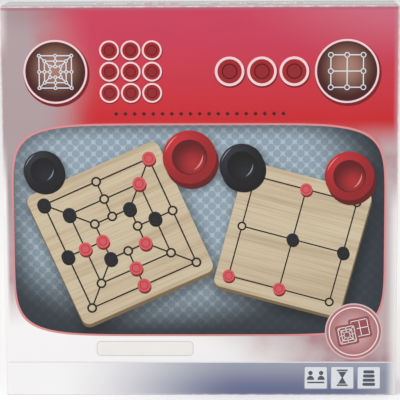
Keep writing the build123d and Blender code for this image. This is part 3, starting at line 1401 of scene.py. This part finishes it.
@dataclass
class BackDesign(Design):
    """The back: a pale panel with three steps of play, what the box holds, and a bare label."""

    def print_all(self) -> None:
        """Prints the whole back."""
        self.stack("panel", 1, ("_line", Stencil().plate(0, 138, 243.6, 157.6, 9), PINK_LINE),
                   ("", Stencil().plate(0, 138, 242, 156, 8), Ink("back_panel_ink", (228, 230, 232))))
        self.medals(Place(), (-18.0, 18.0), 238.0, 14.0)
        flank = [(side * (44.0 + 13.0 * step), 238.0, 4.8) for side in (-1, 1) for step in range(5)]
        self.men("heading", Place(), flank, 1, FLAT_MAN)
        steps = ((Game.NINE, {"red": (1, 10, 20), "black": (3, 12)}),
                 (Game.NINE, {"red": (1, 2, 14, 20), "black": (3, 11, 21, 8)}),
                 (Game.THREE, {"red": (5, 6, 7), "black": (1, 8)}))
        for number, (game, men) in enumerate(steps, 1):
            x = -156.0 + 78.0 * number
            self.wooden_board(f"step_{number}", DrawnBoard(game, Place(x, 172.0), 62.0, men), 3, BACK_WOOD)
            beads = Stencil()
            for bead in range(number):
                beads.disc(x - 30 + 6.5 * bead, 207.6, 2.1, 32)
            self.press.lay(f"step_{number}_beads", beads, 3, Ink("step_bead_ink", (190, 36, 46)))
            self.bars(f"step_{number}_bars", x - 30, 132, (60, 54, 58, 33), 3, GREY_BAR)
        self.print_contents(85.0)
        self.label(88, 40.5, 26)
        self.bars("foot_bars", -118, 47, (96, 88, 92, 60), 1, WHITE_INK)
        self.signs(Place(-96.0, 12.4))

    def print_contents(self, row: float) -> None:
        """What the box holds, in a row: both faces of the board, and the men of each colour.

        Args:
            row: the row's height.
        """
        for game, x in zip(Game, (-97.0, -57.0)):
            board = DrawnBoard(game, Place(x, row), 33.0, {})
            self.wooden_board(f"contents_{game.label()}", board, 3, BACK_WOOD)
        radius = 6.0
        for colour, y in (("red", 8.0), ("black", -8.0)):
            men = [(-22.0 + 16.0 * index, y, radius) for index in range(9)]
            layers = dished_layers(colour, 0.5 / radius, 1.6 / radius, 3.9 / radius, 0.8 / radius)
            self.men(f"contents_{colour}", Place(0, row), men, 3, layers)


@dataclass
class LeafletDesign(Design):
    """The leaflet's front: a red head, both figures, and plain bars where its rules would be."""

    def print_all(self) -> None:
        """Prints the leaflet's front."""
        tones = (("red", (186, 40, 50)), ("black", (52, 52, 56)), ("grey", (132, 132, 136)),
                 ("white", (232, 230, 226)))
        red, black, grey, white = (Ink(f"leaflet_{name}_ink", tone, BARE_PAPER) for name, tone in tones)
        men, figures = Stencil(), Stencil()
        for index in range(-4, 5):
            men.ring(index * 11.0, 91, 3.6, 0.9, 40)
        self.stack("head", 1, ("", Stencil().plate(0, 91, 132, 14, 2), red), ("_men", men, white))
        for game, y in zip(Game, (48.0, -42.0)):
            MorrisFigure(game, 25.0, 0.6, 1.9, 0.5).draw(figures, -37.0, y)
        self.press.lay("figures", figures, 1, black)
        self.bars("upper_bars", 4, 74, (62, 60, 62, 58, 61, 44, 0.1, 62, 59, 61, 60, 38), 1, grey, 1.3, 4.6)
        self.bars("lower_bars", 4, -16, (62, 58, 61, 62, 40, 0.1, 60, 62, 57, 61, 30), 1, grey, 1.3, 4.6)
        self.press.lay("rule", Stencil().plate(0, 4, 132, 0.7), 1, red)


# ---- Pieces ---------------------------------------------------------------------------------------------
@dataclass
class PrintedWrap:
    """A printed sheet folded round a shallow greyboard tray, over its rim and in. Lengths are in metres."""

    node: str  # the node that it stands for
    name: str
    body: str  # what it rides on
    slot: str  # the record's slot
    opens_to: int  # 1 if the tray opens towards +Y, or -1
    ink: Ink  # the ground that is printed on it
    paper: float = 0.00025  # the sheet's thickness
    wall: float = 0.00215  # the whole wall's thickness
    turn_in: float = 0.015  # how far the sheet reaches in behind the rim
    fold: float = 0.0007  # the radius of the outer folds
    rim_fold: float = 0.00034  # the radius of the folds at the rim

    def build(self) -> None:
        """Folds the sheet from a block, whose open end is drawn in to the wall's inner face."""
        low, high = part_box(self.node)
        middle = (low + high) / 2
        open_y = high.y if self.opens_to > 0 else low.y
        sheet = add_block(self.name, low, high)
        with editing(sheet):
            pick(sheet, "EDGE", lambda edge: not self.at_rim(edge, open_y))
            bpy.ops.mesh.bevel(offset=self.fold, segments=4)
            pick(sheet, "FACE", lambda face: self.at_rim(face, open_y))
            bpy.ops.mesh.delete(type="FACE")
            pick(sheet, "EDGE", lambda edge: edge.is_boundary)
            bpy.ops.mesh.extrude_region_move()
            drawn_in = 1 - self.wall / (high.x - middle.x)
            bpy.ops.transform.resize(value=(drawn_in, 1, drawn_in), center_override=middle)
            bpy.ops.mesh.extrude_region_move(
                TRANSFORM_OT_translate={"value": (0, -self.opens_to * self.turn_in, 0)})
            pick(sheet, "EDGE", lambda edge: self.at_rim(edge, open_y) and self.runs_round(edge, middle))
            bpy.ops.mesh.bevel(offset=self.rim_fold, segments=3)
        modify(sheet, "SOLIDIFY", thickness=self.paper, offset=-1.0, use_even_offset=True)
        smooth(sheet, 40)
        dress(sheet, self.ink.material(), self.body, self.node)

    def at_rim(self, element: bmesh.types.BMEdge | bmesh.types.BMFace, open_y: float) -> bool:
        """Whether an edge or a face lies in the rim's plane."""
        return all(abs(vertex.co.y - open_y) < SAME for vertex in element.verts)

    def runs_round(self, edge: bmesh.types.BMEdge, middle: Vector) -> bool:
        """Whether an edge in the rim's plane runs round the rim, and not across it."""
        reach = [max(abs(vertex.co.x - middle.x), abs(vertex.co.z - middle.z)) for vertex in edge.verts]
        return abs(reach[0] - reach[1]) < 0.5 * self.wall


@dataclass
class CounterSet:
    """The thick dished counters: one is modelled, and each place gets a copy. Lengths are in metres."""

    rim_width: float = 0.0027  # the flat rim's width
    dish_slope: float = 0.001  # the width of the dish's slope
    dish_depth: float = 0.0013  # the same in both faces
    edge: float = 0.0007  # the rounding of the outer edges
    lip: float = 0.0004  # the rounding of the dish's edges
    sides: int = 80  # how many sides the circle has

    def build(self, names: Sequence[str], finishes: dict[str, MouldedPlastic]) -> None:
        """Puts a counter at every place.

        Args:
            names: the counters' nodes, which are their bodies' names too.
            finishes: the plastic of each colour.
        """
        low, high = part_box(names[0])
        first = (low + high) / 2
        master = self.model(first, (high.x - low.x) / 2, high.y - low.y)
        plastics = {colour: finish.material() for colour, finish in finishes.items()}
        for name in names:
            low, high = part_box(name)
            counter = add_object(f"{name}_moulded", master.data.copy())
            counter.data.transform(Matrix.Translation((low + high) / 2 - first))
            counter.data.name = counter.name
            colour = name.split("_")[0]
            dress(counter, plastics[colour], name, name)
        bpy.data.objects.remove(master)

    def model(self, middle: Vector, radius: float, thickness: float) -> Piece:
        """Models one counter about the Y axis.

        Args:
            middle: its middle.
            radius: its radius.
            thickness: its thickness.

        Returns:
            The counter.
        """
        deselect()
        bpy.ops.mesh.primitive_cylinder_add(vertices=self.sides, radius=radius, depth=thickness,
                                            location=middle, rotation=(math.radians(90), 0, 0))
        counter = bpy.context.object
        settle(counter)
        with editing(counter):
            for side in (-1, 1):
                pick(counter, "FACE", lambda face: face.normal.y * side > 0.9)
                bpy.ops.mesh.inset(thickness=self.rim_width)
                bpy.ops.mesh.inset(thickness=self.dish_slope)
                bpy.ops.transform.translate(value=(0, -side * self.dish_depth, 0))
            pick(counter, "EDGE", lambda edge: self.is_ring(edge, middle, radius))
            bpy.ops.mesh.bevel(offset=self.edge, segments=5)
            mouth = radius - self.rim_width
            pick(counter, "EDGE", lambda edge: self.is_ring(edge, middle, mouth)
                 or self.is_ring(edge, middle, mouth - self.dish_slope))
            bpy.ops.mesh.bevel(offset=self.lip, segments=4)
        smooth(counter, 40)
        return counter

    def is_ring(self, edge: bmesh.types.BMEdge, middle: Vector, radius: float) -> bool:
        """Whether an edge is part of a circle of a radius round the Y axis."""
        start, end = (vertex.co - middle for vertex in edge.verts)
        level = abs(start.y - end.y) < SAME
        return level and all(abs(math.hypot(point.x, point.z) - radius) < 10 * SAME for point in (start, end))


@dataclass
class Leaflet:
    """The rules: one sheet folded once, its fold on the reader's left."""

    node: str = "rules_leaflet"
    body: str = "leaflet"
    paper: float = 0.0002  # the sheet's thickness, in metres

    def build(self) -> None:
        """Folds the sheet and prints its front."""
        low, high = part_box(self.node)
        sheet = add_block("folded_leaflet", low, high)
        with editing(sheet):
            pick(sheet, "EDGE", lambda edge: all(abs(vertex.co.x - low.x) < SAME for vertex in edge.verts)
                 and abs(edge.verts[0].co.y - edge.verts[1].co.y) < SAME)
            bpy.ops.mesh.bevel(offset=0.49 * (high.y - low.y), segments=6)
            pick(sheet, "FACE", lambda face: abs(face.normal.z) > 0.9 or face.normal.x > 0.9)
            bpy.ops.mesh.delete(type="FACE")
        modify(sheet, "SOLIDIFY", thickness=self.paper, offset=-1.0)
        smooth(sheet)
        dress(sheet, LEAFLET_PAPER.material(), self.body, self.node)
        middle = Vector((0, low.y, (low.z + high.z) / 2))
        LeafletDesign(Press(Face.COVER, middle, self.body, "leaflet_paper", "leaflet")).print_all()


@dataclass
class Board:
    """The wooden board: the nine mens lines on its front and the three mens lines on its back."""

    node: str = "morris_board"
    figure_half: float = 90.0  # half the outer square's side, in millimetres
    line: float = 1.9  # the printed lines' width
    ring: float = 7.6  # the rings' outer radius
    ring_line: float = 2.6  # the rings' width

    def build(self, board: Piece) -> None:
        """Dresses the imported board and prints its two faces.

        Args:
            board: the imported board.
        """
        dress_node(board, BoardWood().material())
        low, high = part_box(self.node)
        black = Ink("board_line_ink", (30, 25, 19), VARNISH)
        for face, y, game in ((Face.COVER, low.y, Game.NINE), (Face.BACK, high.y, Game.THREE)):
            press = Press(face, Vector((0, y, (low.z + high.z) / 2)), "board", "board_wood", "board")
            figure = MorrisFigure(game, self.figure_half, self.line, self.ring, self.ring_line)
            press.lay(f"{game.label()}_lines", figure.draw(Stencil()), 1, black)


@dataclass
class Box:
    """The cardboard: greyboard shells, corner stays, and the printed sheets with all that is on them."""

    red: Tone = (198, 56, 86)  # of both sheets' ground

    def build(self, nodes: dict[str, Piece]) -> None:
        """Builds the lid and the base.

        Args:
            nodes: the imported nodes, by name.
        """
        grey, brown = Greyboard().material(), STAY_PAPER.material()
        for body in ("lid", "base"):
            dress_node(nodes[f"{body}_shell"], grey)
            dress_node(nodes[f"{body}_corner_stays"], brown)
        self.build_lid()
        self.build_base()

    def build_lid(self) -> None:
        """The lid's sheet, its cover, and the three walls that the box doesn't stand on."""
        low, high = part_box("lid_wrap")
        middle = (low + high) / 2
        field_ink = FieldInk("lid_field_ink", self.red)
        PrintedWrap("lid_wrap", "lid_printed_sheet", "lid", "cover_print", 1, field_ink).build()
        CoverDesign(Press(Face.COVER, Vector((0, low.y, 0)), "lid", "cover_print", "cover")).print_all()
        for face, origin, turn in ((Face.LEFT, Vector((low.x, middle.y, middle.z)), 90),
                                   (Face.RIGHT, Vector((high.x, middle.y, middle.z)), 90),
                                   (Face.TOP, Vector((0, middle.y, high.z)), 0)):
            press = Press(face, origin, "lid", "cover_print", f"{face.name.lower()}_wall")
            WallDesign(press).print_along(Place(0, 0, turn))

    def build_base(self) -> None:
        """The base's sheet, which has neither the painted rose haze nor the painted mauve haze, and its printed
        back.
        """
        _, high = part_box("base_wrap")
        field_ink = FieldInk("base_field_ink", self.red, half=high.x, face=high.y, mauve_patch=None,
                             rose_run=Fade(-0.02, -0.01, 1.0, 0.0))
        PrintedWrap("base_wrap", "base_printed_sheet", "base", "base_print", -1, field_ink).build()
        BackDesign(Press(Face.BACK, Vector((0, high.y, 0)), "base", "base_print", "back")).print_all()


# ---- Studio ---------------------------------------------------------------------------------------------
@dataclass
class Studio:
    """The floor, the light and the camera. Angles are in degrees and lengths in metres."""

    azimuth: float = 1.34  # the camera's angle round the box, to the right of the cover's front
    elevation: float = 9.45  # its angle above the horizon
    distance: float = 1.39  # from the target
    lens: float = 186.3  # the focal length, in millimetres
    target: Triple = (-0.00012, -0.025, 0.1349)  # what the camera points at
    roll: float = -0.31  # the camera's roll
    light_aim: Triple = (0, 0, 0.13)  # what every light faces

    def build(self) -> None:
        """Sets up everything that isn't the box."""
        self.add_camera()
        self.add_floor()
        self.add_world()
        self.add_light("key", (-0.9, -1.2, 1.3), (1.0, 1.0), 10.5)
        self.add_light("fill", (1.2, -1.1, 0.8), (1.1, 1.1), 5.0)
        self.add_light("top", (0.0, 0.1, 1.7), (1.2, 1.2), 4.5)
        self.add_light("low_card", (-0.66, -1.3, 0.2), (0.62, 0.4), 1.6)
        bpy.context.scene.view_settings.view_transform = "Standard"

    def add_camera(self) -> None:
        """The camera, at the photograph's angle."""
        azimuth, elevation = math.radians(self.azimuth), math.radians(self.elevation)
        back = Vector((math.sin(azimuth) * math.cos(elevation), -math.cos(azimuth) * math.cos(elevation),
                       math.sin(elevation)))
        data = bpy.data.cameras.new("camera")
        data.lens = self.lens
        data.sensor_width = 36.0
        camera = add_object("camera", data)
        camera.location = Vector(self.target) + back * self.distance
        aim = (-back).to_track_quat("-Z", "Y").to_matrix()
        camera.rotation_euler = (aim @ Matrix.Rotation(math.radians(self.roll), 3, "Z")).to_euler()
        bpy.context.scene.camera = camera

    def add_floor(self) -> None:
        """A wide pale floor that keeps the box's shadow, and shines a little for the camera alone."""
        deselect()
        bpy.ops.mesh.primitive_circle_add(vertices=96, radius=6.0, fill_type="NGON")
        floor = bpy.context.object
        floor.name = "floor"
        shader = Shader("floor")
        matt = shader.node("BsdfPrincipled", {"Base Color": (236, 236, 236), "Roughness": 0.6,
                                              "Specular IOR Level": 0.2}).outputs[0]
        glow = shader.node("Emission", {"Color": (1, 1, 1, 1), "Strength": 0.2}).outputs[0]
        ray = shader.node("LightPath").outputs["Is Camera Ray"]
        lit = shader.node("AddShader", {0: matt, 1: glow}).outputs[0]
        both = shader.node("MixShader", {0: ray, 1: matt, 2: lit}).outputs[0]
        shader.node("OutputMaterial", {"Surface": both})
        floor.data.materials.append(shader.owner)

    def add_world(self) -> None:
        """A soft even light that looks white behind the box and in its gloss."""
        world = bpy.data.worlds.new("studio")
        bpy.context.scene.world = world
        shader = Shader(world)
        path = shader.node("LightPath").outputs
        seen = shader.math("MAXIMUM", path["Is Camera Ray"], path["Is Glossy Ray"])
        strength = shader.node("MapRange", {"Value": seen, "To Min": 0.58, "To Max": 1.0}).outputs[0]
        background = shader.node("Background", {"Color": (1, 1, 1, 1), "Strength": strength}).outputs[0]
        shader.node("OutputWorld", {"Surface": background})

    def add_light(self, name: str, place: Triple, size: Point, power: float) -> None:
        """A soft rectangular light.

        Args:
            name: the light's name.
            place: where it stands.
            size: its width and height.
            power: its power, in watts.
        """
        data = bpy.data.lights.new(name, "AREA")
        data.shape = "RECTANGLE"
        data.size, data.size_y = size
        data.energy = power
        lamp = add_object(name, data)
        lamp.location = place
        lamp.rotation_euler = (Vector(self.light_aim) - Vector(place)).to_track_quat("-Z", "Y").to_euler()


def main() -> None:
    """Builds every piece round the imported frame, in order."""
    logging.basicConfig(level=logging.INFO, format="%(name)s: %(message)s")
    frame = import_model()
    nodes = frame["nodes"]

    Studio().build()
    Box().build(nodes)
    tray_plastic = MouldedPlastic("tray_plastic", (232, 232, 228), 0.3, flow=0.03)
    dress_node(nodes["counter_tray"], tray_plastic.material())
    Board().build(nodes["morris_board"])
    Leaflet().build()
    counters = [name for name in nodes if name.startswith(("red_counter", "black_counter"))]
    CounterSet().build(counters, {"red": MouldedPlastic("red_plastic", (196, 24, 34), 0.16, glow=0.08),
                                  "black": MouldedPlastic("black_plastic", (26, 28, 36), 0.15)})


if __name__ == "__main__":
    main()
